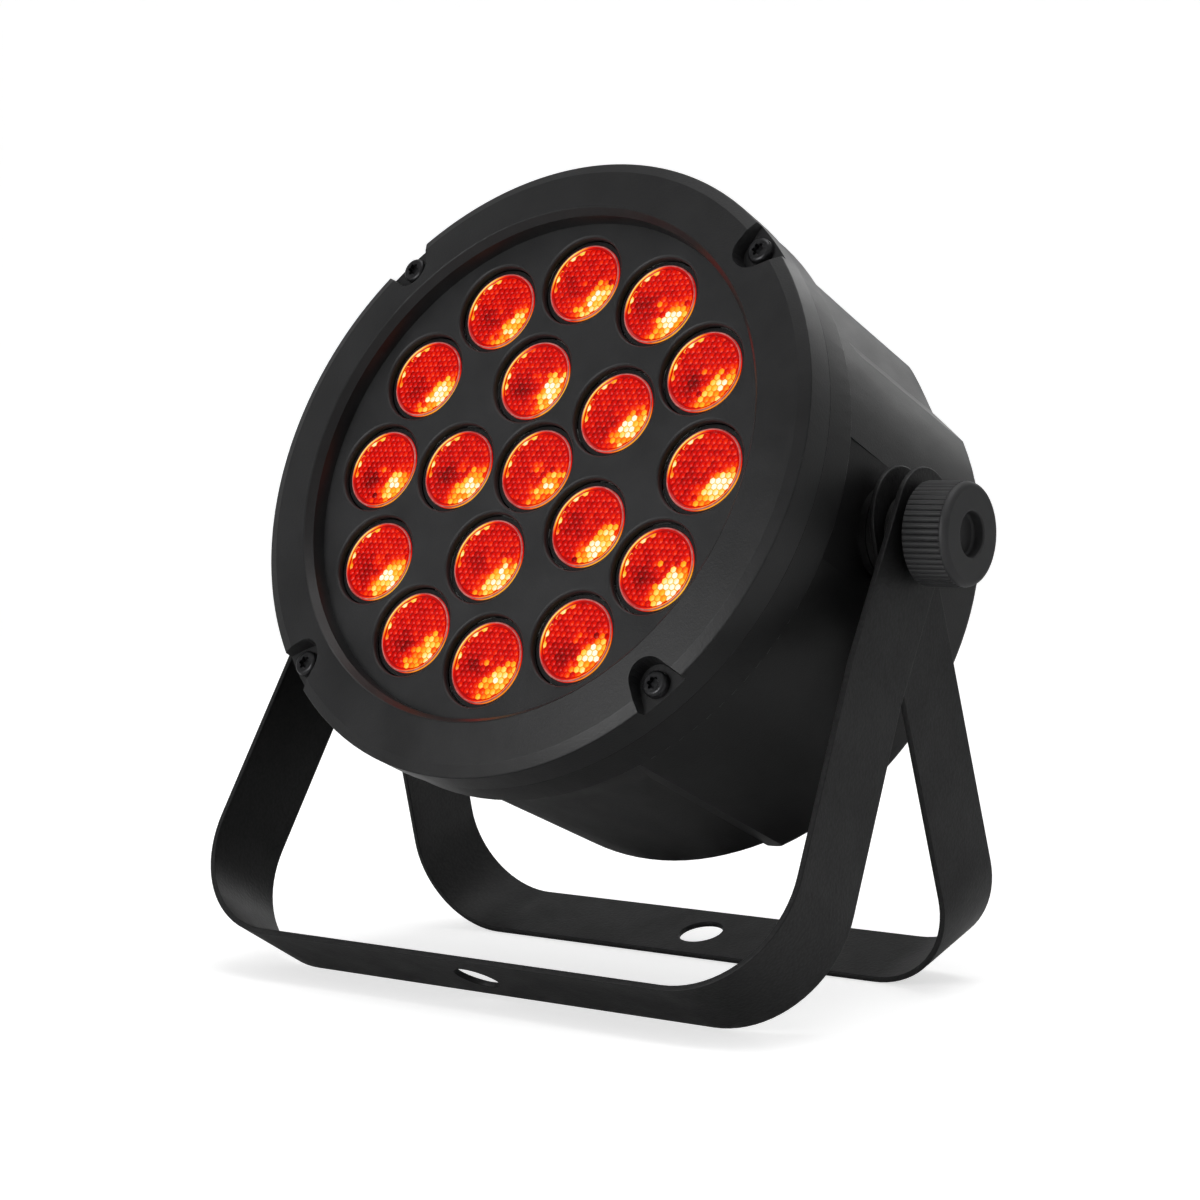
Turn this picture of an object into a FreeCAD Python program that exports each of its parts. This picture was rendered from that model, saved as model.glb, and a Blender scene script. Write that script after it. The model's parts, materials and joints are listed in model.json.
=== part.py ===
import FreeCAD, Part

import math
import os

from FreeCAD import Placement, Rotation, Vector

# LED par can light on two crossed U brackets.
# Millimetres, +Z up. The lamp stands on its splayed brackets and faces -Y.
# The origin is on the floor, in the middle of the lamp's footprint box.
# The head is drawn level, with its pivot axis along X through its own origin and its face towards -Y,
# and is then tilted about that axis. Depths along the optical axis are y values in that level frame.

# ---- driving dimensions ----------------------------------------------------------------------------

TILT = 22.5                     # face above the horizon, degrees
FRONT_SPLAY = 29.0              # front bracket, degrees forward of vertical
REAR_SPLAY = 17.0               # rear bracket, degrees behind vertical

BAR_WIDTH = 25.0                # flat steel bar of both brackets
BAR_THICK = 1.5
FRONT_LEG = 124.5               # pivot axis to the outer face of the bracket's base
FRONT_EAR_X = 88.6              # outer face of the ears
FRONT_BASE_X = 94.1             # where the outer faces of leg and base would meet
FRONT_CORNER = 29.0             # outside corner radius
REAR_EAR_X = 83.8
REAR_BASE_X = 87.6
REAR_CORNER = 24.5
EAR_RISE = 4.0                  # centre of the rounded ear end above the pivot
FRONT_EAR_DROP = 40.0           # the ears stay flat down to this distance below the pivot
REAR_EAR_DROP = 17.0
EAR_BEND = 14.0                 # outside bend radius where the leg starts to spread
HANG_HOLE_R = 6.0               # hanging hole in each base

BEZEL_R = 82.0                  # outside of the bezel
COLLAR_R = 81.5                 # outside of the housing's collar
BODY_R = 79.9                   # housing just behind the collar
MID_R = 79.2                    # housing halfway along
REAR_R = 79.0                   # housing at its rear rim
RIM_SOFT = 2.5                  # rounding of the rear rim
WALL = 2.5                      # moulded wall
GAP = (0.6, 1.2)                # width and depth of the shadow gap between bezel and collar
PAD_X = 78.0                    # flat side pads that face the brackets
PAD_R = 15.5                    # half height of the pad and radius of its round end
BOSS_RISE = 2.0                 # pivot boss above the pad

LENS_Y = -40.4                  # front of the lenses
PANEL_Y = LENS_Y - 1.5          # front of the lens panel
PARTING_Y = -36.5               # bezel meets housing
COLLAR_Y = -25.1                # rear edge of the collar
REAR_Y = 47.6                   # rear rim of the housing

LENS_R = 10.55
LENS_DEPTH = 10.0
LENS_RINGS = ((51.0, 12, 90.0), (25.5, 5, 108.0), (0.0, 1, 0.0))    # radius, count, first angle
LENS_HOLE_R = 12.0

BEZEL_SCREW_R = 78.0            # screw circle and angles of the bezel
BEZEL_SCREW_ANGLES = (45, 135, 225, 315)
POCKET_FLOOR_Y = -43.0

BOARD_Y = -29.0                 # front of the LED board
BOARD_T = 1.6
BOARD_R = 65.0
SINK_Y = BOARD_Y + BOARD_T      # front of the heat sink
SINK_T = 3.0
SINK_R = 70.0
SHELF_T = 2.5                   # ring inside the housing that carries the heat sink

STUD_R = 4.0                    # M8 stud of the knob
STUD_PLAY = 0.08                # running clearance of everything that turns on the stud
INSERT_R = 6.5
PAD_WASHER_R = 11.0
PLAY = 0.3                      # gap between pieces that turn past each other
KNOB_R = 12.8
KNOB_X = (90.8, 102.8)          # grip from its inner to its outer end
KNOB_NECK = 0.7                 # neck between the grip and its washer
KNOB_NOSE = 1.7                 # smooth ring outside the ribs
KNOB_RIBS = 52
RIB_H = 0.65
RECESS = (5.5, 3.2)             # radius and depth of the recess in the knob's end

PLATE_Y = 44.1                  # inner face of the rear panel
PLATE_T = 1.5
PLATE_R = 63.7
BACK_Y = PLATE_Y + PLATE_T      # outer face of the rear panel

SINK_SCREW_R = 67.2
SINK_SCREW_ANGLES = (20, 160, 200, 340)
FIN_PITCH = 8.4
FIN_REACH = 57.0
FIN_TIP_Y = -7.0
CABLE_HOLE = (29.4, 0.0)
POWER_Y = 1.0                   # front face of the power board
CONTROL_Y = 36.0                # front face of the control board

PLATE_SCREW_R = 60.8
PLATE_SCREW_ANGLES = (0, 60, 120, 180, 240, 300)
SEAT_R = 58.5                   # opening behind the rear panel
DISPLAY_Z = 34.0
DISPLAY_SIZE = (34.0, 14.0)
BUTTON_Z = 17.0
BUTTON_X = (-18.0, -6.0, 6.0, 18.0)
BUTTON_R = 3.0
SOCKET_X = 32.0
SOCKET_Z = -8.0
FLANGE_HOLES = ((-9.5, 12.0), (9.5, -12.0))
CONTACTS = ((-3.5, 2.0), (3.5, 2.0), (0.0, -3.2))
INLET_Z = -40.0
FUSE_AT = (36.0, -34.0)
EYE_Z = 53.0

X_AXIS = Vector(1, 0, 0)
Y_AXIS = Vector(0, 1, 0)
Z_AXIS = Vector(0, 0, 1)

# Height of the pivot with the front bracket standing on the inner edge of its base,
# and the length of the rear bracket that reaches the same floor.
HALF_BAR = BAR_WIDTH / 2
PIVOT_Z = (FRONT_LEG * math.cos(math.radians(FRONT_SPLAY))
           + HALF_BAR * math.sin(math.radians(FRONT_SPLAY)))
REAR_LEG = ((PIVOT_Z - HALF_BAR * math.sin(math.radians(REAR_SPLAY)))
            / math.cos(math.radians(REAR_SPLAY)))


# ---- shape helpers ---------------------------------------------------------------------------------

def revolved(profile):
    """Solid of revolution about the optical axis from a closed list of (radius, y) points."""
    points = [Vector(r, y, 0) for r, y in profile]
    face = Part.Face(Part.makePolygon(points + points[:1]))
    return positive(face.revolve(Vector(0, 0, 0), Y_AXIS, 360))


def positive(shape):
    """The same shape as a solid with its faces turned outwards."""
    if shape.Volume < 0:
        shape.reverse()
    return shape


def axial(radius, y0, y1, x=0.0, z=0.0):
    """Cylinder along the optical axis from y0 to y1."""
    return Part.makeCylinder(radius, y1 - y0, Vector(x, y0, z), Y_AXIS)


def lateral(radius, x0, x1, y=0.0, z=0.0):
    """Cylinder along X from x0 to x1."""
    return Part.makeCylinder(radius, x1 - x0, Vector(x0, y, z), X_AXIS)


def block(x, y, z):
    """Box from three (low, high) pairs."""
    return Part.makeBox(x[1] - x[0], y[1] - y[0], z[1] - z[0], Vector(x[0], y[0], z[0]))


def around(angle, radius):
    """x and z of a point at an angle and radius about the optical axis."""
    return radius * math.cos(math.radians(angle)), radius * math.sin(math.radians(angle))


def turned(shape, angle):
    """Copy turned about the optical axis, from +X towards +Z."""
    copy = shape.copy()
    copy.rotate(Vector(0, 0, 0), Y_AXIS, -angle)
    return copy


def flipped(shape):
    """Copy turned half a turn about Z, so that it points the other way along the optical axis."""
    copy = shape.copy()
    copy.rotate(Vector(0, 0, 0), Z_AXIS, 180)
    return copy


def ring_spots(angles, radius):
    return [around(angle, radius) for angle in angles]


def mirrored(shape):
    """Copy on the other side of the YZ plane."""
    return positive(shape.mirror(Vector(0, 0, 0), X_AXIS))


def prism(points, depth):
    """Solid from a closed outline of points, pushed along the vector depth."""
    return positive(Part.Face(Part.makePolygon(points + points[:1])).extrude(depth))


def axial_prism(outline, y0, y1):
    """Solid from an outline of (x, z) points between two depths."""
    return prism([Vector(x, y0, z) for x, z in outline], Vector(0, y1 - y0, 0))


def ring_edges(shape, spots):
    """Circular edges about the optical axis at the given (radius, y) spots."""
    found = []
    for edge in shape.Edges:
        curve = edge.Curve
        if not isinstance(curve, Part.Circle):
            continue
        for radius, y in spots:
            near = abs(curve.Radius - radius) < 0.02 and abs(curve.Center.y - y) < 0.02
            if near and abs(curve.Center.x) < 0.02 and abs(curve.Center.z) < 0.02:
                found.append(edge)
    return found


def path_edges(points, radii):
    """Straight runs joined by tangent arcs. radii holds one radius for each inner point."""
    edges = []
    start = points[0]
    for i, radius in enumerate(radii, 1):
        corner = points[i]
        back = (points[i - 1] - corner).normalize()
        ahead = (points[i + 1] - corner).normalize()
        half = back.getAngle(ahead) / 2
        reach = radius / math.tan(half)
        inward = (back + ahead).normalize()
        middle = corner + inward * (radius / math.sin(half) - radius)
        first, last = corner + back * reach, corner + ahead * reach
        edges.append(Part.LineSegment(start, first).toShape())
        edges.append(Part.Arc(first, middle, last).toShape())
        start = last
    edges.append(Part.LineSegment(start, points[-1]).toShape())
    return edges


def tube(points, radii, radius):
    """Round wire along straight runs and tangent arcs."""
    edges = path_edges(points, radii)
    circle = Part.makeCircle(radius, points[0], points[1] - points[0])
    return Part.Wire(edges).makePipeShell([Part.Wire(circle)], True, True)


def screw(head_r, head_h, shank_r, length, six_lobe=True):
    """Pan-head screw along +Y: the head's underside is at y = 0 and the head points to -Y."""
    head = axial(head_r, -head_h, 0)
    head = head.makeFillet(head_h * 0.45, ring_edges(head, [(head_r, -head_h)]))
    if six_lobe:
        spots = [around(60 * i, head_r * 0.36) for i in range(6)]
        drive = axial(head_r * 0.36, -head_h, -head_h * 0.4)
        for x, z in spots:
            drive = drive.fuse(axial(head_r * 0.15, -head_h, -head_h * 0.4, x, z))
        head = head.cut(drive)
    else:
        slot = block((-head_r * 0.6, head_r * 0.6), (-head_h, -head_h * 0.45), (-0.4, 0.4))
        head = head.cut(slot).cut(turned(slot, 90))
    return head.fuse(axial(shank_r, -0.01, length)).removeSplitter()


def group(solids):
    """Identical pieces that share one node."""
    return Part.makeCompound(solids)


# ---- the head's outer shell ------------------------------------------------------------------------

def bezel_pocket(floor_y, spread):
    """Screw pocket in the bezel at angle 0: round inner end, sides that flare out to the rim."""
    flare = math.radians(20)
    centre, radius = 77.0, 4.5 + spread

    def section(y, grow):
        r = radius + grow
        tip = Vector(centre - r, y, 0)
        side = Vector(centre - r * math.sin(flare), y, r * math.cos(flare))
        far = BEZEL_R + 4.0
        end = Vector(far, y, side.z + (far - side.x) * math.tan(flare))
        arc = Part.Arc(Vector(side.x, y, -side.z), tip, side).toShape()
        lines = Part.makePolygon([side, end, Vector(end.x, y, -end.z), Vector(side.x, y, -side.z)])
        return Part.Wire([arc] + lines.Edges)

    front = section(LENS_Y - 9.0, 0.9)
    back = section(floor_y, 0.0)
    return positive(Part.makeLoft([front, back], True, True))


def front_bezel():
    """Wide ring whose face falls outwards from a sharp inner lip."""
    lip_y, rim_y, edge_y = LENS_Y - 7.5, LENS_Y - 6.0, LENS_Y - 4.8
    outline = [(BEZEL_R, PARTING_Y), (BEZEL_R, edge_y), (79.1, rim_y), (68.7, lip_y),
               (67.2, LENS_Y - 5.3), (66.8, PANEL_Y), (69.4, PANEL_Y), (69.4, PARTING_Y)]
    solid = revolved(outline)
    solid = solid.makeFillet(0.5, ring_edges(solid, [(BEZEL_R, edge_y), (68.7, lip_y)]))
    solid = solid.makeFillet(0.7, ring_edges(solid, [(79.1, rim_y)]))
    hollow = revolved([(69.4, PARTING_Y - 6.2), (71.0, -44.6), (79.6, -43.4),
                       (BEZEL_R - WALL, PARTING_Y - 5.5), (BEZEL_R - WALL, PARTING_Y + 1),
                       (69.4, PARTING_Y + 1)])
    for angle in BEZEL_SCREW_ANGLES:
        hollow = hollow.cut(turned(bezel_pocket(POCKET_FLOOR_Y + WALL, WALL - 0.5), angle))
    solid = solid.cut(hollow)
    for angle in BEZEL_SCREW_ANGLES:
        x, z = around(angle, BEZEL_SCREW_R)
        solid = solid.cut(turned(bezel_pocket(POCKET_FLOOR_Y, 0.0), angle))
        solid = solid.cut(axial(1.9, POCKET_FLOOR_Y - 1, PARTING_Y + 1, x, z))
    return solid


def bezel_screws():
    solids = []
    for angle in BEZEL_SCREW_ANGLES:
        piece = screw(3.3, 2.3, 1.75, 16.0)
        x, z = around(angle, BEZEL_SCREW_R)
        piece.translate(Vector(x, POCKET_FLOOR_Y, z))
        solids.append(piece)
    return group(solids)


VALLEY_ANGLES = (44.5, 135.5)   # between the upper lobe and the sides
VALLEY_BOTTOM = 75.1            # radius of the valley's bottom


def valley(angle, inset):
    """Cutter for a shallow V along the housing that curves outwards before it meets the collar."""
    start, radius, end, top = -10.0, 25.0, COLLAR_Y + 0.4, 24.0
    base = VALLEY_BOTTOM - inset

    def on_curve(y):
        return Vector(base + radius - math.sqrt(radius ** 2 - (start - y) ** 2), y, 0)

    bend = Part.Arc(Vector(base, start, 0), on_curve((start + end) / 2), on_curve(end)).toShape()
    rest = Part.makePolygon([on_curve(end), Vector(base + top, end, 0), Vector(base + top, REAR_Y + 12, 0),
                             Vector(base, REAR_Y + 12, 0), Vector(base, start, 0)])
    face = Part.Face(Part.Wire([bend] + rest.Edges))
    halves = [positive(face.extrude(Vector(3.7, 0, side * 24.0))) for side in (-1, 1)]
    return turned(halves[0].fuse(halves[1]), angle)


# Outline of the lower chin from the collar to the rear rim (radius, depth), and the inner ends of the
# ledges to its right and left (x, z).
CHIN = ((79.4, COLLAR_Y + 1), (77.6, -12.0), (77.2, 10.0), (76.6, 44.6), (75.6, 46.9), (74.2, REAR_Y + 1))
CHIN_LEDGES = ((32.6, -69.0), (-44.9, -61.8))


def chin_cutter(inset, front_y):
    """What lies outside the lower chin: a smaller drum between two ledges that step up to the sides."""
    side = [(radius - inset, y) for radius, y in CHIN]
    drum = revolved([(0, front_y - 1), (BODY_R + 5, front_y - 1)] + side + [(0, REAR_Y + 1)])
    (right_x, right_z), (left_x, left_z) = CHIN_LEDGES
    right_z, left_z = right_z + inset, left_z + inset
    reach = 120.0
    outline = [(0, 0), (right_x, right_z), (reach, right_z), (reach, -reach),
               (-reach, -reach), (-reach, left_z), (left_x, left_z)]
    return axial_prism(outline, COLLAR_Y + 1.5, REAR_Y + 1).cut(drum)


def rear_form(inset, front_y, rear_y):
    """The lobed body behind the collar, shrunk by inset."""
    rim = REAR_R - inset
    form = revolved([(0, front_y), (BODY_R - inset, front_y), (BODY_R - inset, COLLAR_Y + 0.5),
                     (MID_R - inset, 15.0), (rim, rear_y), (0, rear_y)])
    form = form.makeFillet(max(RIM_SOFT - inset, 1.0), ring_edges(form, [(rim, rear_y)]))
    form = form.cut(chin_cutter(inset, front_y))
    for angle in VALLEY_ANGLES:
        form = form.cut(valley(angle, inset))
    pad_r = PAD_R + inset
    for side in (-1, 1):
        low, high = sorted((side * (PAD_X - inset), side * (PAD_X + 20)))
        form = form.cut(block((low, high), (COLLAR_Y + 0.4, 0), (-pad_r, pad_r)))
        form = form.cut(lateral(pad_r, low, high))
    return form


def rear_housing():
    """Moulded shell: collar, lobed body, pivot bosses, heat sink shelf and rear opening."""
    gap_w, gap_d = GAP
    collar = revolved([(0, PARTING_Y), (COLLAR_R - gap_d, PARTING_Y), (COLLAR_R - gap_d, PARTING_Y + gap_w),
                       (COLLAR_R, PARTING_Y + gap_w), (COLLAR_R, COLLAR_Y), (0, COLLAR_Y)])
    collar = collar.makeFillet(0.7, ring_edges(collar, [(COLLAR_R, COLLAR_Y)]))
    shell = collar.fuse(rear_form(0.0, COLLAR_Y - 2, REAR_Y))
    shell = shell.cut(rear_form(WALL, COLLAR_Y - 2, PLATE_Y - WALL))
    shell = shell.cut(axial(77.0, PARTING_Y - 1, COLLAR_Y - 1))
    shelf_y = SINK_Y + SINK_T
    shelf = revolved([(64.5, shelf_y), (BODY_R - 0.5, shelf_y), (BODY_R - 0.5, shelf_y + SHELF_T),
                      (64.5, shelf_y + SHELF_T)])
    shell = shell.fuse(shelf.common(rear_form(0.4, COLLAR_Y - 2, REAR_Y - 1)))
    for side in (-1, 1):
        low, high = sorted((side * (PAD_X - 13), side * (PAD_X + BOSS_RISE)))
        shell = shell.fuse(lateral(PAD_WASHER_R + 0.5, low, high))
    shell = shell.cut(axial(PLATE_R + 0.3, PLATE_Y, REAR_Y + 1))
    shell = shell.cut(axial(SEAT_R, REAR_Y - 8, REAR_Y + 1))
    for angle in BEZEL_SCREW_ANGLES:
        x, z = around(angle, BEZEL_SCREW_R)
        boss = axial(3.4, PARTING_Y, COLLAR_Y + 1, *around(angle, BEZEL_SCREW_R - 1.2))
        shell = shell.fuse(boss).cut(axial(1.8, PARTING_Y - 1, COLLAR_Y - 1.5, x, z))
    for x, z in ring_spots(SINK_SCREW_ANGLES, SINK_SCREW_R):
        shell = shell.cut(axial(1.5, shelf_y - 1, shelf_y + SHELF_T + 1, x, z))
    for x, z in ring_spots(PLATE_SCREW_ANGLES, PLATE_SCREW_R):
        shell = shell.cut(axial(1.3, REAR_Y - 8, REAR_Y, x, z))
    for side in (-1, 1):
        low, high = sorted((side * (PAD_X - 16), side * (PAD_X + 3)))
        shell = shell.cut(lateral(INSERT_R, low, high))
    return shell.removeSplitter()


def pivot_insert():
    """Brass bush with a collar, moulded into the housing's pivot boss on the +X side."""
    bush = lateral(INSERT_R, PAD_X - 12, PAD_X + BOSS_RISE - 0.2)
    return bush.cut(lateral(STUD_R + STUD_PLAY, PAD_X - 14, PAD_X + 3))


# ---- lenses and light source -----------------------------------------------------------------------

def lens_spots(rings=LENS_RINGS):
    """x and z of every lens in the given rings."""
    return [around(first + 360 * i / count, radius)
            for radius, count, first in rings for i in range(count)]


def lens_panel():
    """Plate with one round, edge-broken hole for each lens, and a rim that stands on the heat sink."""
    plate = revolved([(0, PANEL_Y), (69.3, PANEL_Y), (69.3, SINK_Y), (67.0, SINK_Y),
                      (67.0, PANEL_Y + 2.2), (0, PANEL_Y + 2.2)])
    for x, z in lens_spots():
        plate = plate.cut(axial(LENS_HOLE_R, PANEL_Y - 1, PANEL_Y + 3, x, z))
        cone = Part.makeCone(LENS_HOLE_R + 0.5, LENS_HOLE_R - 0.1, 0.6, Vector(x, PANEL_Y, z), Y_AXIS)
        plate = plate.cut(cone)
    return plate


def lens():
    """Collimator with a flat front and a tapered body that sits over the LED."""
    back = LENS_Y + LENS_DEPTH
    body = revolved([(0, LENS_Y), (LENS_R, LENS_Y), (LENS_R, LENS_Y + 1.6), (9.3, LENS_Y + 4.0),
                     (7.2, LENS_Y + 7.5), (4.9, back), (3.1, back), (2.6, back - 3.6), (0, back - 4.0)])
    return body.makeFillet(0.3, ring_edges(body, [(LENS_R, LENS_Y)]))


def repeated_at(pattern, spots):
    """Copies of a piece at (x, z) spots."""
    solids = []
    for x, z in spots:
        piece = pattern.copy()
        piece.translate(Vector(x, 0, z))
        solids.append(piece)
    return group(solids)


def lens_group(ring):
    """The lenses of one ring."""
    return repeated_at(lens(), lens_spots((ring,)))


def lens_holders():
    """Cups that hold the lenses by their rims and stand on the LED board."""
    back = LENS_Y + LENS_DEPTH
    cup = revolved([(LENS_R + 0.1, LENS_Y + 0.5), (11.7, LENS_Y + 0.5), (11.7, BOARD_Y), (3.9, BOARD_Y),
                    (3.9, back), (LENS_R + 0.1, back)])
    return repeated_at(cup, lens_spots())


def led_emitters():
    """Ceramic base with a clear dome."""
    base = block((-1.75, 1.75), (BOARD_Y - 0.9, BOARD_Y), (-1.75, 1.75))
    dome = Part.makeSphere(1.5, Vector(0, BOARD_Y - 0.9, 0), Vector(0, -1, 0), 0, 90, 360)
    return repeated_at(base.fuse(dome).removeSplitter(), lens_spots())


def led_board():
    """Round metal-core board, with a hole for the cable in a gap between lenses."""
    return axial(BOARD_R, BOARD_Y, SINK_Y).cut(axial(2.5, BOARD_Y - 1, SINK_Y + 1, *CABLE_HOLE))


def heat_sink():
    """Disc with parallel fins on its back."""
    back = SINK_Y + SINK_T
    body = axial(SINK_R, SINK_Y, back)
    for i in range(-4, 5):
        x = i * FIN_PITCH
        half = math.sqrt(FIN_REACH ** 2 - x * x)
        body = body.fuse(block((x - 1.0, x + 1.0), (back - 0.1, FIN_TIP_Y), (-half, half)))
    body = body.cut(axial(2.5, SINK_Y - 1, back + 1, *CABLE_HOLE))
    for x, z in ring_spots(SINK_SCREW_ANGLES, SINK_SCREW_R):
        body = body.cut(axial(1.3, SINK_Y - 1, back + 1, x, z))
    return body.removeSplitter()


def sink_screws():
    """Screws through the housing's shelf, heads towards the back."""
    pattern = flipped(screw(2.6, 1.8, 1.3, SINK_T + SHELF_T - 0.3, six_lobe=False))
    pattern.translate(Vector(0, SINK_Y + SINK_T + SHELF_T, 0))
    return repeated_at(pattern, ring_spots(SINK_SCREW_ANGLES, SINK_SCREW_R))


# ---- electronics -----------------------------------------------------------------------------------

def standoffs():
    """Hexagonal posts between the heat sink and the power board."""
    hexagon = [around(60 * i, 3.2) for i in range(6)]
    post = axial_prism(hexagon, SINK_Y + SINK_T, POWER_Y)
    return repeated_at(post, [(x, z) for x in (-42.0, 42.0) for z in (-27.0, 27.0)])


def power_board():
    board = block((-46.0, 46.0), (POWER_Y, POWER_Y + BOARD_T), (-31.0, 31.0))
    for x in (-29.4, 29.4):
        board = board.cut(axial(3.0, POWER_Y - 1, POWER_Y + 3, x, 0.0))
    return board


def power_transformer():
    """Ferrite core round a bobbin."""
    face = POWER_Y + BOARD_T
    core = block((-11.0, 11.0), (face, face + 16.0), (-11.0, 11.0))
    window = block((-7.5, 7.5), (face + 1.5, face + 14.5), (-12.0, 12.0))
    bobbin = block((-7.0, 7.0), (face, face + 14.0), (-13.0, 13.0))
    return core.cut(window).fuse(bobbin.cut(block((-3.5, 3.5), (face + 3, face + 11), (-14, 14))))


def power_capacitors():
    """Upright electrolytic capacitors with a domed sleeve edge."""
    face = POWER_Y + BOARD_T
    solids = []
    for x, z, radius, height in ((-34.0, 20.0, 7.0, 17.0), (-18.0, 22.0, 5.0, 13.0), (30.0, 22.0, 5.0, 13.0)):
        can = axial(radius, face, face + height)
        can = can.makeFillet(0.8, ring_edges(can, [(radius, face + height)]))
        can.translate(Vector(x, 0, z))
        solids.append(can)
    return group(solids)


def control_board():
    """Board behind the menu, with a hole at each end for its panel posts."""
    board = block((-29.0, 29.0), (CONTROL_Y, CONTROL_Y + BOARD_T), (9.0, 45.0))
    for x in (-26.0, 26.0):
        board = board.cut(axial(1.6, CONTROL_Y - 1, CONTROL_Y + 3, x, 27.0))
    return board


def control_posts():
    """Two posts that hang the control board on the rear panel."""
    post = axial(2.6, CONTROL_Y + BOARD_T, PLATE_Y)
    return repeated_at(post, [(-26.0, 27.0), (26.0, 27.0)])


def push_switches():
    """Tact switches under the menu buttons."""
    face = CONTROL_Y + BOARD_T
    switch = block((-3.0, 3.0), (face, face + 2.2), (-3.0, 3.0)).fuse(axial(1.6, face, face + 2.8))
    return repeated_at(switch, [(x, BUTTON_Z) for x in BUTTON_X])


def display_module():
    """Four-digit display block behind its window."""
    w, h = DISPLAY_SIZE[0] / 2 - 1.5, DISPLAY_SIZE[1] / 2 - 0.8
    return block((-w, w), (CONTROL_Y + BOARD_T, PLATE_Y - 0.2), (DISPLAY_Z - h, DISPLAY_Z + h))


def wires():
    """Insulated pairs: mains from the inlet to the power board, and supply down to the LED board."""
    mains, supply = [], []
    face = POWER_Y + BOARD_T
    x, z = CABLE_HOLE
    for shift in (-2.0, 2.0):
        mains.append(tube([Vector(shift, BACK_Y - 22.0, INLET_Z), Vector(shift, 15.0, INLET_Z),
                           Vector(shift, 15.0, -24.0), Vector(shift, face, -24.0)], [3.0, 3.0], 1.1))
    for shift in (-1.1, 1.1):
        supply.append(tube([Vector(x + shift, face, z - 8.0), Vector(x + shift, face + 6.0, z - 8.0),
                            Vector(x + shift, face + 6.0, z), Vector(x + shift, BOARD_Y - 0.9, z),
                            Vector(x + shift, BOARD_Y - 0.9, z + 4.0)], [2.0, 2.0, 1.0], 0.9))
    return group(mains), group(supply)


# ---- rear panel and what it carries ----------------------------------------------------------------

def vent_slots():
    """Rows of slots on both sides of the display."""
    slots = []
    for i in range(5):
        z = 20.0 + 5.5 * i
        reach = math.sqrt(55.0 ** 2 - z * z)
        for side in (-1, 1):
            low, high = sorted((side * 31.0, side * reach))
            slots.append(block((low, high), (PLATE_Y - 1, BACK_Y + 1), (z - 1.2, z + 1.2)))
    return slots


def rear_panel():
    """Round steel plate with openings for the display, buttons, sockets, inlet, fuse and eye."""
    plate = axial(PLATE_R, PLATE_Y, BACK_Y)
    y = (PLATE_Y - 1, BACK_Y + 1)
    w, h = DISPLAY_SIZE
    openings = [block((-w / 2 - 0.1, w / 2 + 0.1), y, (DISPLAY_Z - h / 2 - 0.1, DISPLAY_Z + h / 2 + 0.1)),
                block((-13.7, 13.7), y, (INLET_Z - 10.2, INLET_Z + 10.2)),
                axial(5.6, *y, *FUSE_AT), axial(2.2, *y, 0.0, EYE_Z)]
    openings += [axial(BUTTON_R + 0.3, *y, x, BUTTON_Z) for x in BUTTON_X]
    for side in (-1, 1):
        openings.append(axial(11.9, *y, side * SOCKET_X, SOCKET_Z))
        openings += [axial(1.5, *y, side * SOCKET_X + dx, SOCKET_Z + dz) for dx, dz in FLANGE_HOLES]
    openings += [axial(1.5, *y, x, INLET_Z) for x in (-20.0, 20.0)]
    openings += [axial(1.7, *y, x, z) for x, z in ring_spots(PLATE_SCREW_ANGLES, PLATE_SCREW_R)]
    for opening in openings + vent_slots():
        plate = plate.cut(opening)
    return plate


def panel_screws():
    pattern = flipped(screw(2.6, 1.7, 1.25, 6.0, six_lobe=False))
    pattern.translate(Vector(0, BACK_Y, 0))
    return repeated_at(pattern, ring_spots(PLATE_SCREW_ANGLES, PLATE_SCREW_R))


def display_window():
    """Clear pane set in the rear panel, standing slightly proud."""
    w, h = DISPLAY_SIZE[0] / 2, DISPLAY_SIZE[1] / 2
    return block((-w, w), (PLATE_Y, BACK_Y + 0.6), (DISPLAY_Z - h, DISPLAY_Z + h))


def menu_button(x):
    """Round cap with a crowned end and a flange that keeps it behind the panel."""
    cap = axial(BUTTON_R, PLATE_Y - 2.2, BACK_Y + 1.6, x, BUTTON_Z)
    edges = [e for e in cap.Edges if isinstance(e.Curve, Part.Circle) and e.Curve.Center.y > BACK_Y]
    cap = cap.makeFillet(0.6, edges)
    return cap.fuse(axial(4.2, PLATE_Y - 1.6, PLATE_Y - 0.3, x, BUTTON_Z)).removeSplitter()


def data_socket(with_pins):
    """Round panel socket with a square flange. One kind holds three pins, the other three sleeves."""
    flange = block((-13.0, 13.0), (BACK_Y, BACK_Y + 1.8), (-15.5, 15.5))
    corners = [e for e in flange.Edges if abs(e.tangentAt(e.FirstParameter).y) > 0.99]
    flange = flange.makeFillet(2.5, corners)
    barrel = axial(11.6, BACK_Y - 20.0, BACK_Y + 1.8)
    body = flange.fuse(barrel)
    for dx, dz in FLANGE_HOLES:
        body = body.cut(axial(1.5, BACK_Y - 1, BACK_Y + 3, dx, dz))
    if with_pins:
        body = body.cut(axial(9.5, BACK_Y - 12.0, BACK_Y + 3))
        body = body.fuse(block((-1.2, 1.2), (BACK_Y - 12.0, BACK_Y + 1.0), (8.6, 10.0)))
    else:
        body = body.cut(axial(9.8, BACK_Y - 10.0, BACK_Y + 3).cut(axial(8.1, BACK_Y - 11.0, BACK_Y + 1.2)))
        for x, z in CONTACTS:
            body = body.cut(axial(1.4, BACK_Y - 9.0, BACK_Y + 3, x, z))
    return body.removeSplitter()


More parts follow.
